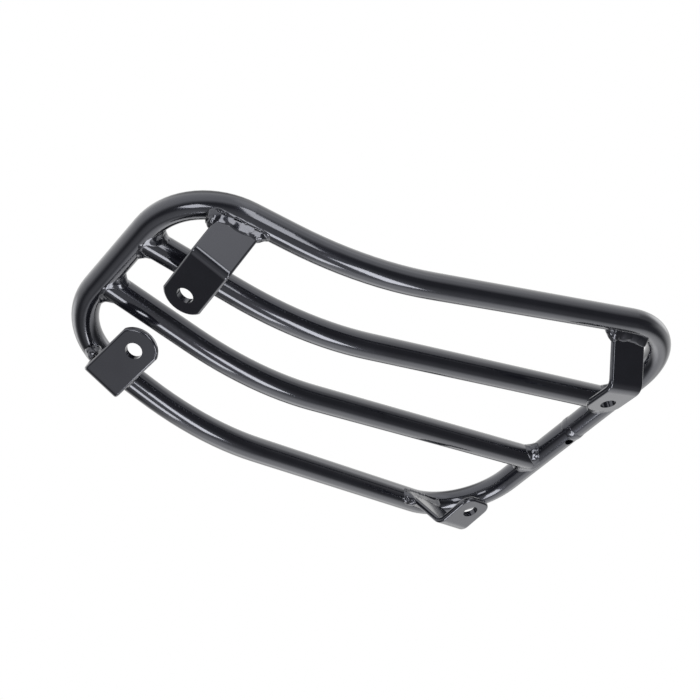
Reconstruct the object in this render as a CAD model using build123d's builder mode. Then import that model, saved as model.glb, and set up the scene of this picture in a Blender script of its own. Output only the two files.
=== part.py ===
"""Welded tubular luggage rack: a tapered hoop, two inner bars and four folded mounting brackets.

Millimetres, +Z up. The rack stands on its bracket feet, with the floor at Z = 0, the narrow
nose at -X, the wide deck end at +X, and the XZ plane as its plane of symmetry. Only the hoop's
closing weld and its drain hole lie off that plane.
"""

import os
from math import atan2, cos, degrees, hypot, isclose, radians, sin, sqrt

from build123d import *

# Tube stock, the same for the hoop and the bars
tube_diameter = 16.0
tube_wall = 2.0

# Side view: the nose falls to the bend, and the deck rises from it to the wide end
nose_run = 109.0
deck_run = 244.0
nose_angle = 18.0
deck_angle = 6.0
bend_height = 15.0
bend_radius = 215.0

# Plan view, measured between tube axes
nose_width = 136.0
deck_width = 234.0
corner_radius = 46.0
bar_spacing_nose = 41.0
bar_spacing_deck = 76.0

# Closing weld of the hoop, off the middle of the deck end tube, and the drain hole under the tube beside it
seam_y = -2.5
vent_diameter = 5.5
vent_from_seam = 6.2

# Flat bar of the brackets
strap_width = 25.0
strap_thickness = 4.0
strap_edge_round = 1.5
bolt_hole = 10.0

# Nose brackets: pitched and turned with the nose rails, with a tight fold and a round end
nose_foot_from_tube = 20.9
nose_foot_inset = 14.9
nose_foot_yaw = 4.0
nose_foot_pitch = 31.5
nose_web_lean = 20.5
nose_flange_rise = 7.0
nose_fold_radius = 1.0
nose_hole_reach = 28.6
nose_end_extra = 1.2
nose_end_radius = strap_width / 2 + nose_end_extra

# Deck brackets: in line with the deck rails, with a wide fold and a blunt end
deck_foot_from_tube = 43.8
deck_foot_inset = 29.2
deck_web_lean = 32.0
deck_flange_rise = 9.0
deck_fold_radius = 5.0
deck_hole_reach = 13.4
deck_end_reach = 24.0
deck_end_corner = 8.0

# Weld beads, and the root gap that each cut end keeps from the tube it meets
root_gap = 0.1
bar_weld_start = 3.0
bar_weld_leg = 3.5
bar_weld_height = 0.5
bar_weld_flat = 0.5
strap_weld_leg = 4.0
strap_weld_hollow = 0.8
strap_weld_overrun = 1.0
strap_weld_lump = 4.2
seam_weld_width = 6.4
seam_weld_height = 0.35

# Sizes that follow from the ones above
tube_radius = tube_diameter / 2
cope_radius = tube_radius + root_gap
seam_proud = root_gap + seam_weld_height
nose_level = nose_run * cos(radians(nose_angle))
deck_level = deck_run * cos(radians(deck_angle))
bend_x = (nose_level - deck_level - seam_proud) / 2
nose_x = bend_x - nose_level
deck_x = bend_x + deck_level
nose_z = bend_height + nose_run * sin(radians(nose_angle))
deck_z = bend_height + deck_run * sin(radians(deck_angle))


def tube_line(nose_y, deck_y):
    """Corner points of a tube axis that runs from the nose tube, over the bend, to the deck tube."""
    bend_y = nose_y + (deck_y - nose_y) * nose_run / (nose_run + deck_run)
    return [
        Vector(nose_x, nose_y, nose_z),
        Vector(bend_x, bend_y, bend_height),
        Vector(deck_x, deck_y, deck_z),
    ]


# Tube axes on the +Y side: half of the hoop, from nose middle to deck middle, and one inner bar
rail_line = tube_line(nose_width / 2, deck_width / 2)
with BuildLine() as hoop_axis:
    FilletPolyline(
        (nose_x, 0, nose_z),
        *rail_line,
        (deck_x, 0, deck_z),
        radius=[corner_radius, bend_radius, corner_radius],
    )

with BuildLine() as bar_axis:
    FilletPolyline(*tube_line(bar_spacing_nose / 2, bar_spacing_deck / 2), radius=bend_radius)


# Hoop: half of it is swept along its axis and mirrored, then the drain hole is drilled
with BuildPart() as hoop_tube:
    with BuildSketch(Plane(hoop_axis.line ^ 0)):
        Circle(tube_radius)
        Circle(tube_radius - tube_wall, mode=Mode.SUBTRACT)
    sweep(path=hoop_axis.line)
    mirror(about=Plane.XZ)
    with BuildSketch(Plane((deck_x, seam_y + vent_from_seam, deck_z), z_dir=(0, 0, -1))):
        Circle(vent_diameter / 2)
    extrude(amount=tube_diameter, mode=Mode.SUBTRACT)

# The hoop's outside as a solid, grown by the root gap: it copes every end that meets the hoop
with BuildPart() as hoop_cutter:
    with BuildSketch(Plane(hoop_axis.line ^ 0)):
        Circle(cope_radius)
    sweep(path=hoop_axis.line)
    mirror(about=Plane.XZ)

# Inner bar on the +Y side, coped to the nose and deck tubes, and the same bar as a cutter
with BuildPart() as inner_bar:
    with BuildSketch(Plane(bar_axis.line ^ 0)):
        Circle(tube_radius)
        Circle(tube_radius - tube_wall, mode=Mode.SUBTRACT)
    sweep(path=bar_axis.line)
    add(hoop_cutter.part, mode=Mode.SUBTRACT)

with BuildPart() as bar_cutter:
    with BuildSketch(Plane(bar_axis.line ^ 0)):
        Circle(cope_radius)
    sweep(path=bar_axis.line)


def bar_weld(end, way):
    """Bead round a bar's coped end: a ball, flat above and below, that runs out on both tubes."""
    meeting = bar_axis.line @ end
    along = (bar_axis.line % end) * way
    upright = along.cross(Vector(0, 1, 0)).normalized()
    centre = meeting + along * bar_weld_start
    spread = hypot(tube_radius, tube_radius + bar_weld_leg - bar_weld_start)
    crown = tube_radius + bar_weld_height
    with BuildPart() as bead:
        with BuildSketch(Plane(centre, x_dir=upright, z_dir=upright.cross(along))):
            Ellipse(crown + bar_weld_flat, spread)
            Rectangle(2 * crown, spread, align=(Align.CENTER, Align.MIN), mode=Mode.INTERSECT)
        revolve(axis=Axis(centre, upright))
        split(bisect_by=Plane(meeting, z_dir=along), keep=Keep.TOP)
        add(hoop_cutter.part, mode=Mode.SUBTRACT)
        add(bar_cutter.part, mode=Mode.SUBTRACT)
    return bead


def rail_y(x):
    """Half the width between the rail axes at a place along the rack, as if the corners were square."""
    before, after = rail_line[:2] if x < bend_x else rail_line[1:]
    return before.Y + (after.Y - before.Y) * (x - before.X) / (after.X - before.X)


class Foot:
    """Fold axis and directions of a bracket on the +Y side, with its lowest edge on the floor."""

    def __init__(self, x, inset, yaw, pitch, lean, rise, fold_radius):
        self.fold = Vector(1, 0, 0).rotate(Axis.Y, pitch).rotate(Axis.Z, yaw)
        inward = Vector(0, -1, 0).rotate(Axis.Z, yaw)
        up = inward.cross(self.fold)
        self.web = up * cos(radians(lean)) - inward * sin(radians(lean))
        self.flange = inward * cos(radians(rise)) + up * sin(radians(rise))
        self.outside = self.web.cross(self.fold)
        self.under = self.fold.cross(self.flange)
        self.outer = fold_radius + strap_thickness
        self.middle = fold_radius + strap_thickness / 2
        drop = (self.outer - strap_edge_round) * cos(radians(pitch))
        tilt = (strap_width / 2 - strap_edge_round) * sin(radians(abs(pitch)))
        self.centre = Vector(x, rail_y(x) - inset, drop + tilt + strap_edge_round)
        self.sole = Plane(self.centre + self.under * self.outer, x_dir=self.fold * -1, z_dir=self.under * -1)

    def web_meets_hoop(self, side):
        """Where one edge of the web, -1 or 1, reaches the hoop's surface and where it passes its axis."""
        start = self.centre + self.outside * self.middle + self.fold * (side * strap_width / 2)
        edge = Edge.make_line(start, start + self.web * deck_width)
        passing, on_axis = edge.closest_points(hoop_axis.wire())
        depth = sqrt(cope_radius**2 - (passing - on_axis).length ** 2)
        return passing - self.web * depth, passing


def runs_along(edge):
    """Whether an edge follows the outline of a flat bar, and crosses neither its width nor its thickness."""
    return not isclose(edge.length, strap_width) and not isclose(edge.length, strap_thickness)


def bracket(foot, hole_reach, tip_start, tip):
    """Flat bar folded from flange to web, with a shaped tip and a bolt hole, its web coped to the hoop."""
    tip_end = tip.sketch.bounding_box().max.Y
    toe = foot.centre + foot.under * foot.middle
    heel = foot.centre + foot.outside * foot.middle
    crest = [foot.web_meets_hoop(side)[1] for side in (-1, 1)]
    crest_line = crest[1] - crest[0]
    with BuildPart() as strap:
        with BuildLine() as bar_line:
            Line(toe + foot.flange * tip_end, toe)
            ThreePointArc(toe, foot.centre + (foot.under + foot.outside).normalized() * foot.middle, heel)
            Line(heel, heel + foot.web * deck_width / 2)
        with BuildSketch(Plane(bar_line.line @ 0, x_dir=foot.fold, z_dir=foot.flange * -1)):
            Rectangle(strap_width, strap_thickness)
        sweep(path=bar_line.line)
        with BuildSketch(foot.sole):
            with Locations((0, tip_start)):
                Rectangle(2 * strap_width, tip_end, align=(Align.CENTER, Align.MIN))
            add(tip.sketch, mode=Mode.SUBTRACT)
        extrude(amount=strap_thickness, mode=Mode.SUBTRACT)
        fillet(strap.edges().filter_by(runs_along), strap_edge_round)
        split(bisect_by=Plane(crest[0], z_dir=crest_line.cross(foot.outside)), keep=Keep.BOTTOM)
        with BuildSketch(foot.sole):
            with Locations((0, hole_reach)):
                Circle(bolt_hole / 2)
        extrude(amount=strap_thickness, mode=Mode.SUBTRACT)
        add(hoop_cutter.part, mode=Mode.SUBTRACT)
    return strap


def strap_weld(foot, strap, way):
    """Hollow bead along one face of a web, where it meets the hoop: way is 1 outside and -1 inside."""
    reach = way * (1 + 2 * strap_weld_overrun / strap_width)
    root = [foot.web_meets_hoop(side)[0] for side in (-reach, 0, reach)]
    face = strap_thickness / 2
    across = face + strap_weld_leg
    web_toe = Vector(face, -strap_weld_leg)
    tube_toe = Vector(across, cope_radius - sqrt(cope_radius**2 - across**2))
    sag = (Vector(face, 0) - (web_toe + tube_toe) / 2).normalized() * strap_weld_hollow
    with BuildPart() as bead:
        with BuildLine() as bead_line:
            Spline(*root)
        with BuildSketch(Plane(root[0], x_dir=foot.outside * way, z_dir=bead_line.line % 0)):
            with BuildLine():
                Polyline(web_toe, (0, -strap_weld_leg), (0, cope_radius), tube_toe)
                ThreePointArc(tube_toe, (web_toe + tube_toe) / 2 + sag, web_toe)
            make_face()
        sweep(path=bead_line.line)
        with Locations(*[end + foot.outside * (way * face) for end in (root[0], root[-1])]):
            Sphere(strap_weld_lump)
        split(bisect_by=Plane(root[1], z_dir=foot.outside * way), keep=Keep.TOP)
        add(hoop_cutter.part, mode=Mode.SUBTRACT)
        add(strap.part, mode=Mode.SUBTRACT)
    return bead


def other_side(piece):
    """The -Y twin of a piece."""
    with BuildPart() as twin:
        mirror(piece.part, about=Plane.XZ)
    return twin


# Flange tips, drawn with the fold at Y = 0: the nose tip is round about its hole, the deck tip blunt
with BuildSketch() as nose_tip:
    with Locations((0, nose_hole_reach)):
        Circle(nose_end_radius)

with BuildSketch() as deck_tip:
    with Locations((0, deck_end_reach)):
        RectangleRounded(strap_width, strap_width, deck_end_corner, align=(Align.CENTER, Align.MAX))

# Brackets on the +Y side
nose_foot = Foot(
    x=nose_x + nose_foot_from_tube,
    inset=nose_foot_inset,
    yaw=nose_foot_yaw,
    pitch=nose_foot_pitch,
    lean=nose_web_lean,
    rise=nose_flange_rise,
    fold_radius=nose_fold_radius,
)
deck_foot = Foot(
    x=deck_x - deck_foot_from_tube,
    inset=deck_foot_inset,
    yaw=degrees(atan2(rail_line[2].Y - rail_line[1].Y, deck_level)),
    pitch=-deck_angle,
    lean=deck_web_lean,
    rise=deck_flange_rise,
    fold_radius=deck_fold_radius,
)
nose_bracket = bracket(nose_foot, nose_hole_reach, nose_hole_reach, nose_tip)
deck_bracket = bracket(deck_foot, deck_hole_reach, deck_end_reach - deck_end_corner, deck_tip)

# Closing weld of the hoop: a low ring round the deck tube
with BuildPart() as hoop_seam_weld:
    with BuildSketch(Plane((deck_x, seam_y, deck_z), x_dir=(0, 1, 0), z_dir=(1, 0, 0))):
        with BuildLine():
            foot_line = Line((-seam_weld_width / 2, cope_radius), (seam_weld_width / 2, cope_radius))
            ThreePointArc(foot_line @ 1, (0, tube_radius + seam_proud), foot_line @ 0)
        make_face()
    revolve(axis=Axis((deck_x, 0, deck_z), (0, 1, 0)))

# Pieces that come in pairs, named for the +Y side
pairs = {
    "inner_bar": inner_bar,
    "nose_bracket": nose_bracket,
    "deck_bracket": deck_bracket,
    "nose_bar_weld": bar_weld(0, 1),
    "deck_bar_weld": bar_weld(1, -1),
    "nose_bracket_outer_weld": strap_weld(nose_foot, nose_bracket, 1),
    "nose_bracket_inner_weld": strap_weld(nose_foot, nose_bracket, -1),
    "deck_bracket_outer_weld": strap_weld(deck_foot, deck_bracket, 1),
    "deck_bracket_inner_weld": strap_weld(deck_foot, deck_bracket, -1),
}
pieces = {"hoop_tube": hoop_tube, "hoop_seam_weld": hoop_seam_weld}
for name, piece in pairs.items():
    pieces[f"{name}_left"] = piece
    pieces[f"{name}_right"] = other_side(piece)

os.makedirs("parts", exist_ok=True)
for name, piece in pieces.items():
    piece.part.label = name
    export_step(piece.part, f"parts/{name}.step")
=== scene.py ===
from math import cos, pi, radians, sin

import bmesh
import bpy
from mathutils import Matrix, Vector
from mathutils.bvhtree import BVHTree


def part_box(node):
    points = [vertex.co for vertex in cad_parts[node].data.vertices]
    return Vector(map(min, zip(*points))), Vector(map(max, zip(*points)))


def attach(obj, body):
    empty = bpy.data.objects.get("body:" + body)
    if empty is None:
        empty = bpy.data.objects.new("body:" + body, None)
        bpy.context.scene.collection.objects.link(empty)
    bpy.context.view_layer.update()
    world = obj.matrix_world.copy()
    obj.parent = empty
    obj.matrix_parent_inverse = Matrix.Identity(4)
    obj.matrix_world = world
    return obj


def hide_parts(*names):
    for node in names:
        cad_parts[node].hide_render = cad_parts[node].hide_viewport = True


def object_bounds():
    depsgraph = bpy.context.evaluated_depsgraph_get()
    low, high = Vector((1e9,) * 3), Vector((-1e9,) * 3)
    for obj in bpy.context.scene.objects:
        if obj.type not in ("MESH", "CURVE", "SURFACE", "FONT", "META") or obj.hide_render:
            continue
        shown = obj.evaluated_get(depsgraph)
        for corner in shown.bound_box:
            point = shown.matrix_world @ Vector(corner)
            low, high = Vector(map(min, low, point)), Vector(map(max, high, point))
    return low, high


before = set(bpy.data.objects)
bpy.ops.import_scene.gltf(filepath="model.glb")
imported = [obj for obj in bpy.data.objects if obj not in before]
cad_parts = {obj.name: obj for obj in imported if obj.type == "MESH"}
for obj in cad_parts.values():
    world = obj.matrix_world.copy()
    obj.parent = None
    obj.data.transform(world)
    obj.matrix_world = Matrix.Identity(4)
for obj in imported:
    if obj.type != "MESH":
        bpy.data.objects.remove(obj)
cad_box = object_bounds()

bl_info = {
    "name": "Welded Luggage Rack",
    "version": (1, 0, 0),
    "blender": (4, 5, 0),
    "location": "3D View > Sidebar > Rack",
    "description": "Gloss black coat, weld beads and a studio for a tubular luggage rack",
    "category": "Object",
}

BODY = "root"
SIDES = ("left", "right")
ENDS = ("nose", "deck")


class RackCoat(bpy.types.PropertyGroup):
    """Gloss black coat that covers the whole rack."""

    colour: bpy.props.FloatVectorProperty(
        name="Colour",
        description="Colour of the coat under its clear skin",
        subtype="COLOR",
        default=(0.0055, 0.0058, 0.0082),
        min=0.0,
        max=1.0,
    )
    glint: bpy.props.FloatVectorProperty(
        name="Glint",
        description="Tint of what the coat reflects under its clear skin",
        subtype="COLOR",
        default=(0.76, 0.8, 1.0),
        min=0.0,
        max=1.0,
    )
    gloss: bpy.props.FloatProperty(
        name="Gloss",
        description="Weight of the clear skin that the coat cures to",
        subtype="FACTOR",
        default=1.0,
        min=0.0,
        max=1.0,
    )
    skin_roughness: bpy.props.FloatProperty(
        name="Skin Roughness",
        description="Roughness of the clear skin",
        subtype="FACTOR",
        default=0.08,
        min=0.0,
        max=1.0,
    )
    body_roughness: bpy.props.FloatProperty(
        name="Body Roughness",
        description="Roughness of the coat under its clear skin",
        subtype="FACTOR",
        default=0.16,
        min=0.0,
        max=1.0,
    )
    peel_size: bpy.props.FloatProperty(
        name="Peel Size",
        description="Distance between the dimples of the coat's orange peel",
        unit="LENGTH",
        default=0.0016,
        min=0.0001,
    )
    peel_depth: bpy.props.FloatProperty(
        name="Peel Depth",
        description="Depth of the orange peel",
        unit="LENGTH",
        default=0.00001,
        min=0.0,
    )


class RackWelds(bpy.types.PropertyGroup):
    """Shape of the weld beads."""

    tube_radius: bpy.props.FloatProperty(
        name="Tube Radius",
        description="Outside radius of the tubes that the beads join",
        unit="LENGTH",
        default=0.008,
        min=0.001,
    )
    grain: bpy.props.FloatProperty(
        name="Grain",
        description="Width of a bead's mesh faces",
        unit="LENGTH",
        default=0.0003,
        min=0.0001,
    )
    bracket_leg: bpy.props.FloatProperty(
        name="Bracket Leg",
        description="How far a bracket's bead runs out on the steel on each side of its root",
        unit="LENGTH",
        default=0.0042,
        min=0.001,
    )
    bar_leg: bpy.props.FloatProperty(
        name="Bar Leg",
        description="How far a bar's bead runs out on the steel on each side of its root",
        unit="LENGTH",
        default=0.0046,
        min=0.001,
    )
    bracket_crown: bpy.props.FloatProperty(
        name="Bracket Crown",
        description="Roundness of a bracket bead's face: below 1 is hollow, 1 is flat and 2 is round",
        default=1.15,
        min=0.5,
        max=2.0,
    )
    bar_crown: bpy.props.FloatProperty(
        name="Bar Crown",
        description="Roundness of a bar bead's face: below 1 is hollow, 1 is flat and 2 is round",
        default=0.7,
        min=0.5,
        max=2.0,
    )
    lean: bpy.props.FloatProperty(
        name="Lean",
        description="How much further a bead runs out on the piece than on the hoop",
        default=1.1,
        min=0.5,
        max=2.0,
    )
    start_swell: bpy.props.FloatProperty(
        name="Start Swell",
        description="Share by which the legs of a bracket's bead grow at its end towards the nose",
        default=0.3,
        min=-1.0,
        max=1.0,
    )
    nose_stop_swell: bpy.props.FloatProperty(
        name="Nose Stop Swell",
        description="Share by which the legs of a nose bracket's bead grow at its end towards the deck",
        default=0.1,
        min=-1.0,
        max=1.0,
    )
    deck_stop_swell: bpy.props.FloatProperty(
        name="Deck Stop Swell",
        description="Share by which the legs of a deck bracket's bead grow at its end towards the deck",
        default=-0.5,
        min=-1.0,
        max=1.0,
    )
    unevenness: bpy.props.FloatProperty(
        name="Unevenness",
        description="Share by which the legs of a bead wander",
        subtype="FACTOR",
        default=0.15,
        min=0.0,
        max=1.0,
    )
    root_depth: bpy.props.FloatProperty(
        name="Root Depth",
        description="How far a bead goes down into the steel",
        unit="LENGTH",
        default=0.0008,
        min=0.0001,
    )
    ripple_size: bpy.props.FloatProperty(
        name="Ripple Size",
        description="Length of the swells that follow each other along a bead",
        unit="LENGTH",
        default=0.0075,
        min=0.0001,
    )
    bar_ripple_size: bpy.props.FloatProperty(
        name="Bar Ripple Size",
        description="Length of the swells that follow each other round the end of a bar",
        unit="LENGTH",
        default=0.0045,
        min=0.0001,
    )
    ripple_height: bpy.props.FloatProperty(
        name="Ripple Height",
        description="Height of the swells that follow each other along a bead",
        unit="LENGTH",
        default=0.0009,
        min=0.0,
    )
    lump_size: bpy.props.FloatProperty(
        name="Lump Size",
        description="Distance between the lumps where a bead starts and stops",
        unit="LENGTH",
        default=0.003,
        min=0.0001,
    )
    lump_height: bpy.props.FloatProperty(
        name="Lump Height",
        description="Height of the lumps where a bead starts and stops",
        unit="LENGTH",
        default=0.0008,
        min=0.0,
    )
    seam_lump_height: bpy.props.FloatProperty(
        name="Seam Lump Height",
        description="Height of the lumps on the hoop's closing weld",
        unit="LENGTH",
        default=0.0002,
        min=0.0,
    )


class RackStage(bpy.types.PropertyGroup):
    """Floor, camera and lamps."""

    floor_size: bpy.props.FloatProperty(
        name="Floor Size",
        description="Width of the floor",
        unit="LENGTH",
        default=12.0,
        min=0.1,
    )
    floor_colour: bpy.props.FloatVectorProperty(
        name="Floor Colour",
        description="Colour of the floor",
        subtype="COLOR",
        default=(0.9, 0.9, 0.9),
        min=0.0,
        max=1.0,
    )
    camera_place: bpy.props.FloatVectorProperty(
        name="Camera Place",
        description="Where the camera stands, low enough to see the rack's underside",
        subtype="XYZ",
        unit="LENGTH",
        default=(-0.534711, -0.57249, -0.557121),
    )
    camera_way: bpy.props.FloatVectorProperty(
        name="Camera Way",
        description="Direction in which the camera looks",
        subtype="DIRECTION",
        default=(0.532926, 0.58507, 0.611294),
    )
    camera_roll: bpy.props.FloatProperty(
        name="Camera Roll",
        description="Clockwise turn of the camera about its line of sight",
        unit="ROTATION",
        default=radians(9.34),
    )
    lens: bpy.props.FloatProperty(
        name="Lens",
        description="Focal length of the camera",
        unit="CAMERA",
        default=82.335,
        min=1.0,
    )
    lamp_distance: bpy.props.FloatProperty(
        name="Lamp Distance",
        description="Distance of the lamps from the middle of the rack",
        unit="LENGTH",
        default=1.4,
        min=0.1,
    )
    sky: bpy.props.FloatProperty(
        name="Sky",
        description="Brightness of the room above the rack",
        default=0.91,
        min=0.0,
    )
    sky_lean: bpy.props.FloatVectorProperty(
        name="Sky Lean",
        description="How the brightness above the rack grows along each axis",
        subtype="XYZ",
        default=(-0.125, -0.285, 0.0),
    )
    ground: bpy.props.FloatProperty(
        name="Ground",
        description="Brightness of the room below the rack, beside its lamps",
        default=0.1,
        min=0.0,
    )


SETTINGS = {"rack_coat": RackCoat, "rack_welds": RackWelds, "rack_stage": RackStage}


class Wire:
    """One output of a node tree, with arithmetic on values that adds Math nodes."""

    def __init__(self, tree, socket=None):
        self.tree = tree
        self.socket = socket

    def node(self, kind, output=0, settings=None, inputs=None):
        """Add a node, set it up, feed its sockets, and give one of its outputs."""
        made = self.tree.nodes.new(kind)
        for name, value in (settings or {}).items():
            setattr(made, name, value)
        for name, value in (inputs or {}).items():
            self.feed(made.inputs[name], value)
        return Wire(self.tree, made.outputs[output])

    def feed(self, socket, value):
        """Link a wire to a socket, or set the socket to a plain value."""
        if isinstance(value, Wire):
            self.tree.links.new(value.socket, socket)
        else:
            socket.default_value = value

    def math(self, operation, *values):
        """Result of a Math node."""
        return self.node("ShaderNodeMath", 0, {"operation": operation}, dict(enumerate(values)))

    def vectors(self, operation, *values, output="Vector"):
        """Result of a Vector Math node on vectors."""
        return self.node("ShaderNodeVectorMath", output, {"operation": operation}, dict(enumerate(values)))

    def dot(self, other):
        """Dot product of two vectors."""
        return self.vectors("DOT_PRODUCT", self, other, output="Value")

    def scaled(self, factor):
        """A vector times a value."""
        inputs = {"Vector": self, "Scale": factor}
        return self.node("ShaderNodeVectorMath", "Vector", {"operation": "SCALE"}, inputs)

    def ease(self, low, high, start=0.0, end=1.0):
        """Go smoothly from start to end while this value goes from low to high."""
        inputs = {"Value": self, "From Min": low, "From Max": high, "To Min": start, "To Max": end}
        return self.node("ShaderNodeMapRange", 0, {"interpolation_type": "SMOOTHSTEP"}, inputs)

    def noise(self, size, detail=2.0):
        """Noise at this place, from 0 to 1, with features about as wide as the size."""
        return self.node("ShaderNodeTexNoise", 0, None, {"Vector": self, "Scale": 1 / size, "Detail": detail})

    def most(self, other):
        """The larger of two values."""
        return self.math("MAXIMUM", self, other)

    def least(self, other):
        """The smaller of two values."""
        return self.math("MINIMUM", self, other)

    def length(self):
        """Length of a vector."""
        return self.vectors("LENGTH", self, output="Value")

    def droplets(self, size, steepness=1.5):
        """Round lumps in loose packing, from 0 between them to 1 at their tops."""
        cells = {"Vector": self, "Scale": 1 / size}
        apart = self.node("ShaderNodeTexVoronoi", "Distance", {"voronoi_dimensions": "3D"}, cells)
        return (1 - apart * apart * steepness).most(0.0)

    def __add__(self, other):
        return self.math("ADD", self, other)

    __radd__ = __add__

    def __sub__(self, other):
        return self.math("SUBTRACT", self, other)

    def __rsub__(self, other):
        return self.math("SUBTRACT", other, self)

    def __mul__(self, other):
        return self.math("MULTIPLY", self, other)

    __rmul__ = __mul__

    def __truediv__(self, other):
        return self.math("DIVIDE", self, other)

    def __rtruediv__(self, other):
        return self.math("DIVIDE", other, self)


# Mottle of the coat: its size, the noise that it spans, and the shares of each value that it goes between
MOTTLE_SIZE = 0.02
MOTTLE_SPAN = (0.2, 0.8)
COLOUR_SHARES = (0.7, 1.3)
ROUGHNESS_SHARES = (0.8, 1.2)
GLOSS_SHARES = (0.92, 1.0)

# Colour sockets of a Mix node, which share their names with its other sockets
MIX_FIRST, MIX_SECOND, MIX_RESULT = 6, 7, 2


def coat_material(name, peel, wave_size, wave_depth):
    """Gloss black powder coat: a clear skin over a body with fine orange peel and a slower wave."""
    coat = bpy.context.scene.rack_coat
    material = bpy.data.materials.new(name)
    material.use_nodes = True
    tree = material.node_tree
    shader = tree.nodes["Principled BSDF"]
    place = Wire(tree).node("ShaderNodeTexCoord", "Object")
    mottle = place.noise(MOTTLE_SIZE, detail=4.0)
    dark, light = ([channel * share for channel in coat.colour] + [1.0] for share in COLOUR_SHARES)
    shades = {"Factor": mottle, MIX_FIRST: dark, MIX_SECOND: light}
    dimples = place.noise(coat.peel_size) * (coat.peel_depth * peel)
    height = dimples + place.noise(wave_size, detail=1.0) * wave_depth
    varied = {
        "Base Color": place.node("ShaderNodeMix", MIX_RESULT, {"data_type": "RGBA"}, shades),
        "Roughness": mottle.ease(*MOTTLE_SPAN, *(coat.body_roughness * share for share in ROUGHNESS_SHARES)),
        "Coat Weight": mottle.ease(*MOTTLE_SPAN, *(coat.gloss * share for share in GLOSS_SHARES)),
        "Normal": place.node("ShaderNodeBump", 0, None, {"Height": height, "Distance": 1.0}),
    }
    for socket, value in varied.items():
        place.feed(shader.inputs[socket], value)
    shader.inputs["Coat Roughness"].default_value = coat.skin_roughness
    shader.inputs["Specular Tint"].default_value = (*coat.glint, 1.0)
    return material


def weld_coat():
    """Coat of the beads, made once."""
    made = bpy.data.materials.get("weld_gloss_black")
    return made or coat_material("weld_gloss_black", peel=1.0, wave_size=0.004, wave_depth=0.00002)


def coat_nodes(names, material):
    """Finish CAD nodes with one material."""
    for name in names:
        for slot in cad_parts[name].material_slots:
            slot.material = material


# Largest cosine between two faces that count as looking opposite ways
OPPOSITE = -0.9


def tube_axis(node):
    """Edges along a tube's axis, found by moving the tube's outer skin inwards by its radius.

    A face is outer skin if a face that looks the other way lies opposite, a tube's diameter behind it.
    """
    radius = bpy.context.scene.rack_welds.tube_radius
    slack = radius / 20
    merged = radius / 100
    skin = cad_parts[node].data
    corners = [vertex.co for vertex in skin.vertices]
    tree = BVHTree.FromPolygons(corners, [face.vertices for face in skin.polygons])
    points = []
    edges = []
    for face in skin.polygons:
        opposite = face.center - face.normal * (2 * radius)
        _, normal, _, apart = tree.find_nearest(opposite)
        if apart < slack and normal.dot(face.normal) < OPPOSITE:
            first = len(points)
            edges += [(first, first + 1), (first + 1, first + 2), (first + 2, first)]
            for corner in face.loop_indices:
                on_skin = corners[skin.loops[corner].vertex_index]
                points.append(on_skin - skin.corner_normals[corner].vector * radius)
    mesh = bpy.data.meshes.new(f"{node}_axis")
    mesh.from_pydata(points, edges, [])
    line = bmesh.new()
    line.from_mesh(mesh)
    bmesh.ops.remove_doubles(line, verts=line.verts, dist=merged)
    line.to_mesh(mesh)
    line.free()
    axis = bpy.data.objects.new(f"{node}_axis", mesh)
    bpy.context.scene.collection.objects.link(axis)
    return axis


def new_tree(name, kinds):
    """Empty geometry node tree with named inputs, and its inputs as wires."""
    tree = bpy.data.node_groups.new(name, "GeometryNodeTree")
    for title, kind in kinds.items():
        tree.interface.new_socket(title, in_out="INPUT", socket_type=f"NodeSocket{kind}")
    tree.interface.new_socket("Weld", in_out="OUTPUT", socket_type="NodeSocketGeometry")
    given = tree.nodes.new("NodeGroupInput")
    return tree, {title: Wire(tree, given.outputs[title]) for title in kinds}


def end_tree(tree, shape, coat, blurs=2):
    """Finish a tree: a slightly blurred, smooth, realized mesh with its material."""
    place = shape.node("GeometryNodeInputPosition")
    blur = {"Value": place, "Iterations": blurs}
    blurred = place.node("GeometryNodeBlurAttribute", 0, {"data_type": "FLOAT_VECTOR"}, blur)
    soft = place.node("GeometryNodeSetPosition", 0, None, {"Geometry": shape, "Position": blurred})
    smooth = place.node("GeometryNodeSetShadeSmooth", 0, None, {"Geometry": soft})
    real = place.node("GeometryNodeRealizeInstances", 0, None, {"Geometry": smooth})
    coated = place.node("GeometryNodeSetMaterial", 0, None, {"Geometry": real, "Material": coat})
    out = tree.nodes.new("NodeGroupOutput")
    place.feed(out.inputs["Weld"], coated)


# Width of the waves in which a bead's legs wander
WANDER_SIZE = 0.008

# Shares of a bead's half length between which its ends set in
END_FROM, END_TO = 0.5, 0.9

# Share of its size that a bead keeps where the two shapes close up to a narrow gap
LEAST_OPENING = 0.2


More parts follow.
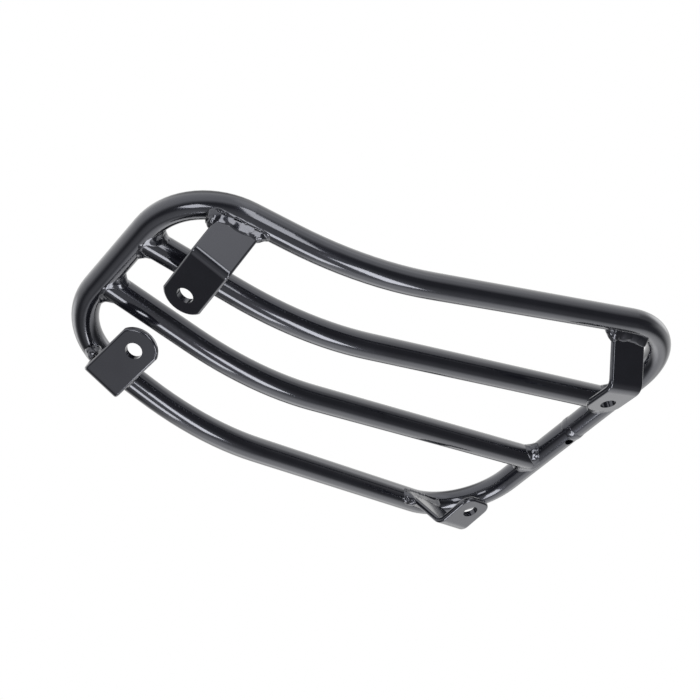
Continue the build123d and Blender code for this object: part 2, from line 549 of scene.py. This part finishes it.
def fillet_tree(name, on_tube):
    """Geometry nodes that fill the corner between the hoop and a bar or a bracket with a bead.

    The bead is all that lies near enough to both shapes. It goes a little way into them, keeps to one
    side of a cut, swells and shrinks along its run, and has lumps near its ends.
    """
    kinds = {
        "Hoop Axis": "Object",
        "Piece": "Object",
        "Tube Radius": "Float",
        "Lowest": "Vector",
        "Highest": "Vector",
        "Grain": "Float",
        "Leg": "Float",
        "Crown": "Float",
        "Lean": "Float",
        "Start Swell": "Float",
        "Stop Swell": "Float",
        "Unevenness": "Float",
        "Root Depth": "Float",
        "Ripple Size": "Float",
        "Ripple Height": "Float",
        "Lump Size": "Float",
        "Lump Height": "Float",
        "Middle": "Vector",
        "Run": "Vector",
        "Half Length": "Float",
        "Cut Way": "Vector",
        "Seed": "Vector",
        "Coat": "Material",
    }
    tree, value = new_tree(name, kinds)
    place = Wire(tree).node("GeometryNodeInputPosition")
    from_middle = place.vectors("SUBTRACT", place, value["Middle"])

    def from_axis(axis):
        """Distance from the skin of a tube by its axis, and the way off it."""
        edges = {"Geometry": axis}
        near = place.node("GeometryNodeProximity", "Position", {"target_element": "EDGES"}, edges)
        away = place.vectors("SUBTRACT", place, near)
        return away.length() - value["Tube Radius"], away.vectors("NORMALIZE", away)

    def from_skin(piece):
        """Distance from the skin of a closed piece, below 0 inside it, and the way off it."""
        faces = {"Geometry": piece}
        near = place.node("GeometryNodeProximity", "Position", {"target_element": "FACES"}, faces)
        away = place.vectors("SUBTRACT", place, near)
        skin = {"Mesh": piece, "Value": place.node("GeometryNodeInputNormal")}
        normal = place.node("GeometryNodeSampleNearestSurface", 0, {"data_type": "FLOAT_VECTOR"}, skin)
        side = away.math("SIGN", away.dot(normal))
        return away.length() * side, away.vectors("NORMALIZE", away).scaled(side)

    hoop = place.node("GeometryNodeObjectInfo", "Geometry", None, {"Object": value["Hoop Axis"]})
    piece = place.node("GeometryNodeObjectInfo", "Geometry", None, {"Object": value["Piece"]})
    hoop_gap, hoop_way = from_axis(hoop)
    piece_gap, piece_way = from_axis(piece) if on_tube else from_skin(piece)
    seeded = place.vectors("ADD", place, value["Seed"])
    opening = (1 - hoop_way.dot(piece_way)).most(LEAST_OPENING).least(1.0)
    wander = seeded.noise(WANDER_SIZE, detail=1.0) * 2 - 1
    leg = value["Leg"] * (1 + value["Unevenness"] * wander)
    ripple = seeded.droplets(value["Ripple Size"]) * value["Ripple Height"]
    along = from_middle.dot(value["Run"]) / value["Half Length"]
    start = along.ease(-END_TO, -END_FROM, 1.0, 0.0)
    stop = along.ease(END_FROM, END_TO)
    swell = 1 + value["Start Swell"] * start + value["Stop Swell"] * stop
    lump = seeded.droplets(value["Lump Size"]) * value["Lump Height"] * (start + stop)
    gaps = (hoop_gap / value["Lean"], piece_gap * value["Lean"])
    powers = (place.math("POWER", gap.most(0.0), value["Crown"]) for gap in gaps)
    spread = place.math("POWER", sum(powers), 1 / value["Crown"])
    inside = spread - (leg * swell + ripple + lump) * opening
    inside = inside.most(0 - hoop_gap - value["Root Depth"])
    inside = inside.most(0 - piece_gap - value["Root Depth"])
    inside = inside.most(0 - from_middle.dot(value["Cut Way"]))
    size = place.vectors("SUBTRACT", value["Highest"], value["Lowest"])
    grains = size.node("ShaderNodeCombineXYZ", 0, None, dict.fromkeys("XYZ", value["Grain"]))
    counts = size.vectors("DIVIDE", size, grains)
    steps = tree.nodes.new("ShaderNodeSeparateXYZ")
    place.feed(steps.inputs[0], counts)
    cube = {"Density": 1 - inside / value["Grain"], "Min": value["Lowest"], "Max": value["Highest"]}
    cube.update({f"Resolution {axis}": Wire(tree, steps.outputs[axis]) for axis in "XYZ"})
    volume = place.node("GeometryNodeVolumeCube", 0, None, cube)
    bead = place.node("GeometryNodeVolumeToMesh", 0, None, {"Volume": volume, "Threshold": 1.0})
    end_tree(tree, bead, value["Coat"])
    return tree


def seam_tree(section_steps=64):
    """Geometry nodes that bend a low, uneven bead into a ring round a tube."""
    kinds = {
        "Middle": "Vector",
        "Tube Radius": "Float",
        "Half Width": "Float",
        "Height": "Float",
        "Root Depth": "Float",
        "Grain": "Float",
        "Lump Size": "Float",
        "Lump Height": "Float",
        "Seed": "Vector",
        "Coat": "Material",
    }
    tree, value = new_tree("weld_seam", kinds)
    wire = Wire(tree)
    steps = value["Tube Radius"] * (2 * pi) / value["Grain"]
    sunk = value["Tube Radius"] - value["Root Depth"]
    tall = value["Height"] + value["Root Depth"]
    buried = value["Root Depth"] / tall
    wide = value["Half Width"] / wire.math("SQRT", 1 - buried * buried)
    ring = wire.node("GeometryNodeCurvePrimitiveCircle", 0, None, {"Resolution": steps, "Radius": sunk})
    unit = {"Resolution": section_steps, "Radius": 1.0}
    section = wire.node("GeometryNodeCurvePrimitiveCircle", 0, None, unit)
    low = wire.node("ShaderNodeCombineXYZ", 0, None, {"X": tall, "Y": wide, "Z": 1.0})
    section = wire.node("GeometryNodeTransform", 0, None, {"Geometry": section, "Scale": low})
    bead = wire.node("GeometryNodeCurveToMesh", 0, None, {"Curve": ring, "Profile Curve": section})
    upright = {"Geometry": bead, "Rotation": (pi / 2, 0.0, 0.0), "Translation": value["Middle"]}
    bead = wire.node("GeometryNodeTransform", 0, None, upright)
    seeded = wire.vectors("ADD", wire.node("GeometryNodeInputPosition"), value["Seed"])
    lump = seeded.droplets(value["Lump Size"]) * value["Lump Height"]
    offset = wire.node("GeometryNodeInputNormal").scaled(lump)
    bead = wire.node("GeometryNodeSetPosition", 0, None, {"Geometry": bead, "Offset": offset})
    end_tree(tree, bead, value["Coat"])
    return tree


def largest_shell(mesh):
    """Take all but the largest of a mesh's loose shells away."""
    work = bmesh.new()
    work.from_mesh(mesh)
    left = set(work.verts)
    shells = []
    while left:
        shell = []
        front = [left.pop()]
        while front:
            vertex = front.pop()
            shell.append(vertex)
            beside = {edge.other_vert(vertex) for edge in vertex.link_edges} & left
            left -= beside
            front += beside
        shells.append(shell)
    shells.sort(key=len)
    bmesh.ops.delete(work, geom=[vertex for shell in shells[:-1] for vertex in shell], context="VERTS")
    work.to_mesh(mesh)
    work.free()


def lay_weld(node, tree, values):
    """Piece that stands for one CAD bead, made by a geometry node tree."""
    holder = bpy.data.objects.new("bead", bpy.data.meshes.new("bead"))
    bpy.context.scene.collection.objects.link(holder)
    maker = holder.modifiers.new("maker", "NODES")
    maker.node_group = tree
    for item in tree.interface.items_tree:
        if item.in_out == "INPUT":
            maker[item.identifier] = values[item.name]
    graph = bpy.context.evaluated_depsgraph_get()
    shaped = bpy.data.meshes.new_from_object(holder.evaluated_get(graph), depsgraph=graph)
    bpy.data.objects.remove(holder)
    if not shaped.polygons:
        raise RuntimeError(f"the bead for {node} came out empty")
    largest_shell(shaped)
    shaped.name = f"{node}_bead"
    piece = bpy.data.objects.new(f"{node}_bead", shaped)
    bpy.context.scene.collection.objects.link(piece)
    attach(piece, BODY)
    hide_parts(node)


# First seeds of the beads, and how far a seed shifts their noise along each axis
BRACKET_SEED, BAR_SEED, SEAM_SEED = 1, 5, 9
SEED_STEPS = (0.1, 0.07, 0.03)


def shared_values(seed, coat):
    """Inputs that are the same for every bead, and the bead's own seed."""
    welds = bpy.context.scene.rack_welds
    return {
        "Tube Radius": welds.tube_radius,
        "Grain": welds.grain,
        "Unevenness": welds.unevenness,
        "Root Depth": welds.root_depth,
        "Lean": welds.lean,
        "Ripple Size": welds.ripple_size,
        "Ripple Height": welds.ripple_height,
        "Lump Size": welds.lump_size,
        "Lump Height": welds.lump_height,
        "Seed": [seed * step for step in SEED_STEPS],
        "Coat": coat,
    }


def grown_box(node, margin):
    """Corners of a node's box, a margin larger all round."""
    lowest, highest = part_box(node)
    edge = Vector((margin, margin, margin))
    return Vector(lowest) - edge, Vector(highest) + edge


def middle_of(node):
    """Middle of a node's points."""
    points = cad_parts[node].data.vertices
    return sum((point.co for point in points), Vector()) / len(points)


def run_line(node):
    """Way from nose to deck and half length of a bead, by its points that lie furthest apart."""
    points = [vertex.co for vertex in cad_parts[node].data.vertices]
    middle = middle_of(node)
    first = max(points, key=lambda point: (point - middle).length)
    last = max(points, key=lambda point: (point - first).length)
    run = last - first if first.x < last.x else first - last
    return run.normalized(), run.length / 2


class RACK_OT_coat_tubes(bpy.types.Operator):
    """Coat the hoop and the inner bars"""

    bl_idname = "rack.coat_tubes"
    bl_label = "Coat Tubes"

    def execute(self, context):
        material = coat_material("tube_gloss_black", peel=1.0, wave_size=0.012, wave_depth=0.00003)
        coat_nodes(["hoop_tube"] + [f"inner_bar_{side}" for side in SIDES], material)
        return {"FINISHED"}


class RACK_OT_coat_brackets(bpy.types.Operator):
    """Coat the four folded brackets"""

    bl_idname = "rack.coat_brackets"
    bl_label = "Coat Brackets"

    def execute(self, context):
        material = coat_material("bracket_gloss_black", peel=1.6, wave_size=0.02, wave_depth=0.00006)
        coat_nodes([f"{end}_bracket_{side}" for end in ENDS for side in SIDES], material)
        return {"FINISHED"}


class RACK_OT_lay_bracket_welds(bpy.types.Operator):
    """Lay the outer and inner weld bead of each bracket"""

    bl_idname = "rack.lay_bracket_welds"
    bl_label = "Lay Bracket Welds"

    def execute(self, context):
        welds = context.scene.rack_welds
        coat = weld_coat()
        axis = tube_axis("hoop_tube")
        tree = fillet_tree("weld_fillet_on_plate", on_tube=False)
        brackets = [(end, side) for end in ENDS for side in SIDES]
        stop_swells = {"nose": welds.nose_stop_swell, "deck": welds.deck_stop_swell}
        for seed, (end, side) in enumerate(brackets, start=BRACKET_SEED):
            outer, inner = (f"{end}_bracket_{face}_weld_{side}" for face in ("outer", "inner"))
            centre = (middle_of(outer) + middle_of(inner)) / 2
            outward = (middle_of(outer) - middle_of(inner)).normalized()
            for node, way in ((outer, outward), (inner, -outward)):
                run, half = run_line(node)
                lowest, highest = grown_box(node, welds.bracket_leg)
                values = shared_values(seed, coat) | {
                    "Hoop Axis": axis,
                    "Piece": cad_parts[f"{end}_bracket_{side}"],
                    "Lowest": lowest,
                    "Highest": highest,
                    "Leg": welds.bracket_leg,
                    "Crown": welds.bracket_crown,
                    "Start Swell": welds.start_swell,
                    "Stop Swell": stop_swells[end],
                    "Middle": centre - way * welds.grain,
                    "Run": run,
                    "Half Length": half,
                    "Cut Way": way,
                }
                lay_weld(node, tree, values)
        bpy.data.objects.remove(axis)
        return {"FINISHED"}


class RACK_OT_lay_bar_welds(bpy.types.Operator):
    """Lay the weld bead round each end of the inner bars"""

    bl_idname = "rack.lay_bar_welds"
    bl_label = "Lay Bar Welds"

    def execute(self, context):
        welds = context.scene.rack_welds
        coat = weld_coat()
        hoop = tube_axis("hoop_tube")
        tree = fillet_tree("weld_fillet_on_tube", on_tube=True)
        nose_x, deck_x = (corner[0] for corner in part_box("hoop_tube"))
        ends = {
            "nose": (nose_x + welds.tube_radius, Vector((1, 0, 0))),
            "deck": (deck_x - welds.tube_radius, Vector((-1, 0, 0))),
        }
        for side in SIDES:
            bar = tube_axis(f"inner_bar_{side}")
            for seed, (end, (axis_x, inward)) in enumerate(ends.items(), start=BAR_SEED):
                node = f"{end}_bar_weld_{side}"
                middle = middle_of(node)
                middle.x = axis_x
                lowest, highest = grown_box(node, welds.bar_leg)
                values = shared_values(seed, coat) | {
                    "Hoop Axis": hoop,
                    "Piece": bar,
                    "Lowest": lowest,
                    "Highest": highest,
                    "Leg": welds.bar_leg,
                    "Crown": welds.bar_crown,
                    "Start Swell": 0.0,
                    "Stop Swell": 0.0,
                    "Ripple Size": welds.bar_ripple_size,
                    "Middle": middle,
                    "Run": Vector((0, 1, 0)),
                    "Half Length": welds.tube_radius,
                    "Cut Way": inward,
                }
                lay_weld(node, tree, values)
            bpy.data.objects.remove(bar)
        bpy.data.objects.remove(hoop)
        return {"FINISHED"}


# Shares of the CAD ring's width and height, and of a bead's root depth, that the closing weld has
SEAM_HALF_WIDTH, SEAM_HEIGHT, SEAM_ROOT = 0.4, 0.5, 0.4


class RACK_OT_lay_seam_weld(bpy.types.Operator):
    """Lay the weld that closes the hoop"""

    bl_idname = "rack.lay_seam_weld"
    bl_label = "Lay Seam Weld"

    def execute(self, context):
        welds = context.scene.rack_welds
        lowest, highest = (Vector(corner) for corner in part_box("hoop_seam_weld"))
        size = highest - lowest
        values = shared_values(SEAM_SEED, weld_coat()) | {
            "Middle": (lowest + highest) / 2,
            "Half Width": size.y * SEAM_HALF_WIDTH,
            "Height": (size.x / 2 - welds.tube_radius) * SEAM_HEIGHT,
            "Root Depth": welds.root_depth * SEAM_ROOT,
            "Lump Height": welds.seam_lump_height,
        }
        lay_weld("hoop_seam_weld", seam_tree(), values)
        return {"FINISHED"}


# Azimuth and elevation of each lamp in degrees, its width and height in metres, and its brightness
LAMPS = {
    "side strip": (-107, -28, 0.36, 1.0, 4.8),
    "nose lamp": (-47, -67, 0.8, 0.4, 7.5),
    "deck lamp": (104, -70, 0.65, 0.42, 6.5),
    "key lamp": (-168, -34, 0.4, 0.45, 6.0),
}

# Azimuth, elevation, inner and outer radius of each soft round area of the room in degrees, and the
# brightness that it adds, which is below 0 for a dark one
GLOWS = {
    "far panel": (43, -34, 12, 39, 1.12),
    "near panel": (132, -51, 8, 26, 0.25),
    "deck panel": (65, -19, 6, 19, 0.53),
    "black flag": (-59, 5, 14, 38, -0.64),
    "side window": (-79, 24, 14, 29, 0.48),
    "deck window": (106, 12, 7, 21, 0.95),
    "near window": (170, 53, 9, 68, 0.35),
    "far window": (-15, 31, 2, 19, 0.8),
    "low bounce": (0, -89, 5, 60, 0.45),
    "dark ceiling": (0, 89, 6, 28, -0.7),
}

# Heights of a line of sight between which the room goes from ground to sky
HORIZON = (-0.4, 0.08)
WHITE = (1.0, 1.0, 1.0, 1.0)


def on_sphere(azimuth, elevation):
    """Direction at an azimuth from +X and an elevation from the floor, in degrees."""
    level = cos(radians(elevation))
    return Vector((level * cos(radians(azimuth)), level * sin(radians(azimuth)), sin(radians(elevation))))


def add_lamps(middle, distance):
    """Lamps round the rack, each at its own brightness."""
    for name, (azimuth, elevation, width, height, brightness) in LAMPS.items():
        lamp = bpy.data.lights.new(name, "AREA")
        lamp.shape = "RECTANGLE"
        lamp.size = width
        lamp.size_y = height
        lamp.energy = brightness * pi * width * height
        holder = bpy.data.objects.new(name, lamp)
        way = on_sphere(azimuth, elevation)
        holder.location = middle + way * distance
        holder.rotation_euler = way.to_track_quat("Z", "Y").to_euler()
        holder.visible_camera = False
        bpy.context.scene.collection.objects.link(holder)


def add_room(stage):
    """White room for the camera; for light and reflections, bright above, dim below, with soft glows."""
    world = bpy.data.worlds.new("room")
    world.use_nodes = True
    tree = world.node_tree
    tree.nodes.clear()
    way = Wire(tree).node("ShaderNodeTexCoord", "Generated")
    sky = stage.sky + way.dot(stage.sky_lean)
    room = way.dot((0.0, 0.0, 1.0)).ease(*HORIZON, stage.ground, sky)
    for azimuth, elevation, inner, outer, brightness in GLOWS.values():
        towards = way.dot(on_sphere(azimuth, elevation))
        room = room + towards.ease(cos(radians(outer)), cos(radians(inner)), 0.0, brightness)
    lit = {"Color": WHITE, "Strength": room.most(stage.ground)}
    light = way.node("ShaderNodeBackground", 0, None, lit)
    backdrop = way.node("ShaderNodeBackground", 0, None, {"Color": WHITE})
    seen = way.node("ShaderNodeLightPath", "Is Camera Ray")
    mixed = way.node("ShaderNodeMixShader", 0, None, {0: seen, 1: light, 2: backdrop})
    out = tree.nodes.new("ShaderNodeOutputWorld")
    way.feed(out.inputs["Surface"], mixed)
    bpy.context.scene.world = world


def add_floor(stage):
    """Pale floor under the feet, seen from above only."""
    mesh = bpy.data.meshes.new("floor")
    sheet = bmesh.new()
    bmesh.ops.create_grid(sheet, x_segments=1, y_segments=1, size=stage.floor_size / 2)
    sheet.to_mesh(mesh)
    sheet.free()
    material = bpy.data.materials.new("pale_floor")
    material.use_nodes = True
    tree = material.node_tree
    tree.nodes.clear()
    wire = Wire(tree)
    pale = wire.node("ShaderNodeBsdfDiffuse", 0, None, {"Color": (*stage.floor_colour, 1.0)})
    clear = wire.node("ShaderNodeBsdfTransparent")
    above = 1 - wire.node("ShaderNodeNewGeometry", "Backfacing")
    seen = wire.node("ShaderNodeLightPath", "Is Camera Ray")
    mixed = wire.node("ShaderNodeMixShader", 0, None, {0: seen * above, 1: clear, 2: pale})
    out = tree.nodes.new("ShaderNodeOutputMaterial")
    wire.feed(out.inputs["Surface"], mixed)
    mesh.materials.append(material)
    floor = bpy.data.objects.new("floor", mesh)
    bpy.context.scene.collection.objects.link(floor)


def add_camera(stage):
    """Camera below the rack, that looks up at its underside."""
    camera = bpy.data.cameras.new("camera")
    camera.lens = stage.lens
    holder = bpy.data.objects.new("camera", camera)
    way = stage.camera_way.normalized()
    level = way.cross(Vector((0, 0, 1))).normalized()
    upright = level.cross(way)
    right = level * cos(stage.camera_roll) - upright * sin(stage.camera_roll)
    turn = Matrix((right, right.cross(way), -way)).transposed()
    holder.matrix_world = Matrix.Translation(stage.camera_place) @ turn.to_4x4()
    bpy.context.scene.collection.objects.link(holder)
    bpy.context.scene.camera = holder


class RACK_OT_set_stage(bpy.types.Operator):
    """Set up the floor, the room, the lamps and the camera"""

    bl_idname = "rack.set_stage"
    bl_label = "Set Stage"

    def execute(self, context):
        stage = context.scene.rack_stage
        add_floor(stage)
        add_room(stage)
        add_lamps((cad_box[0] + cad_box[1]) / 2, stage.lamp_distance)
        add_camera(stage)
        context.scene.view_settings.view_transform = "Standard"
        return {"FINISHED"}


OPERATORS = (
    RACK_OT_coat_tubes,
    RACK_OT_coat_brackets,
    RACK_OT_lay_bracket_welds,
    RACK_OT_lay_bar_welds,
    RACK_OT_lay_seam_weld,
    RACK_OT_set_stage,
)


class RACK_PT_sidebar(bpy.types.Panel):
    """Sidebar list of the rack's steps and settings"""

    bl_idname = "RACK_PT_sidebar"
    bl_label = "Luggage Rack"
    bl_space_type = "VIEW_3D"
    bl_region_type = "UI"
    bl_category = "Rack"

    def draw(self, context):
        for operator in OPERATORS:
            self.layout.operator(operator.bl_idname)
        for name, group in SETTINGS.items():
            settings = getattr(context.scene, name)
            column = self.layout.column(heading=group.__doc__)
            for field in group.__annotations__:
                column.prop(settings, field)


CLASSES = (*SETTINGS.values(), *OPERATORS, RACK_PT_sidebar)


def register():
    """Make the classes and their settings known."""
    for made in CLASSES:
        bpy.utils.register_class(made)
    for name, group in SETTINGS.items():
        setattr(bpy.types.Scene, name, bpy.props.PointerProperty(type=group))


def unregister():
    """Take the settings and the classes back out."""
    for name in SETTINGS:
        delattr(bpy.types.Scene, name)
    for made in reversed(CLASSES):
        bpy.utils.unregister_class(made)


def main():
    """Finish the rack, set the stage and note the sizes."""
    register()
    bpy.ops.rack.coat_tubes()
    bpy.ops.rack.coat_brackets()
    bpy.ops.rack.lay_bracket_welds()
    bpy.ops.rack.lay_bar_welds()
    bpy.ops.rack.lay_seam_weld()
    bpy.ops.rack.set_stage()


if __name__ == "__main__":
    main()
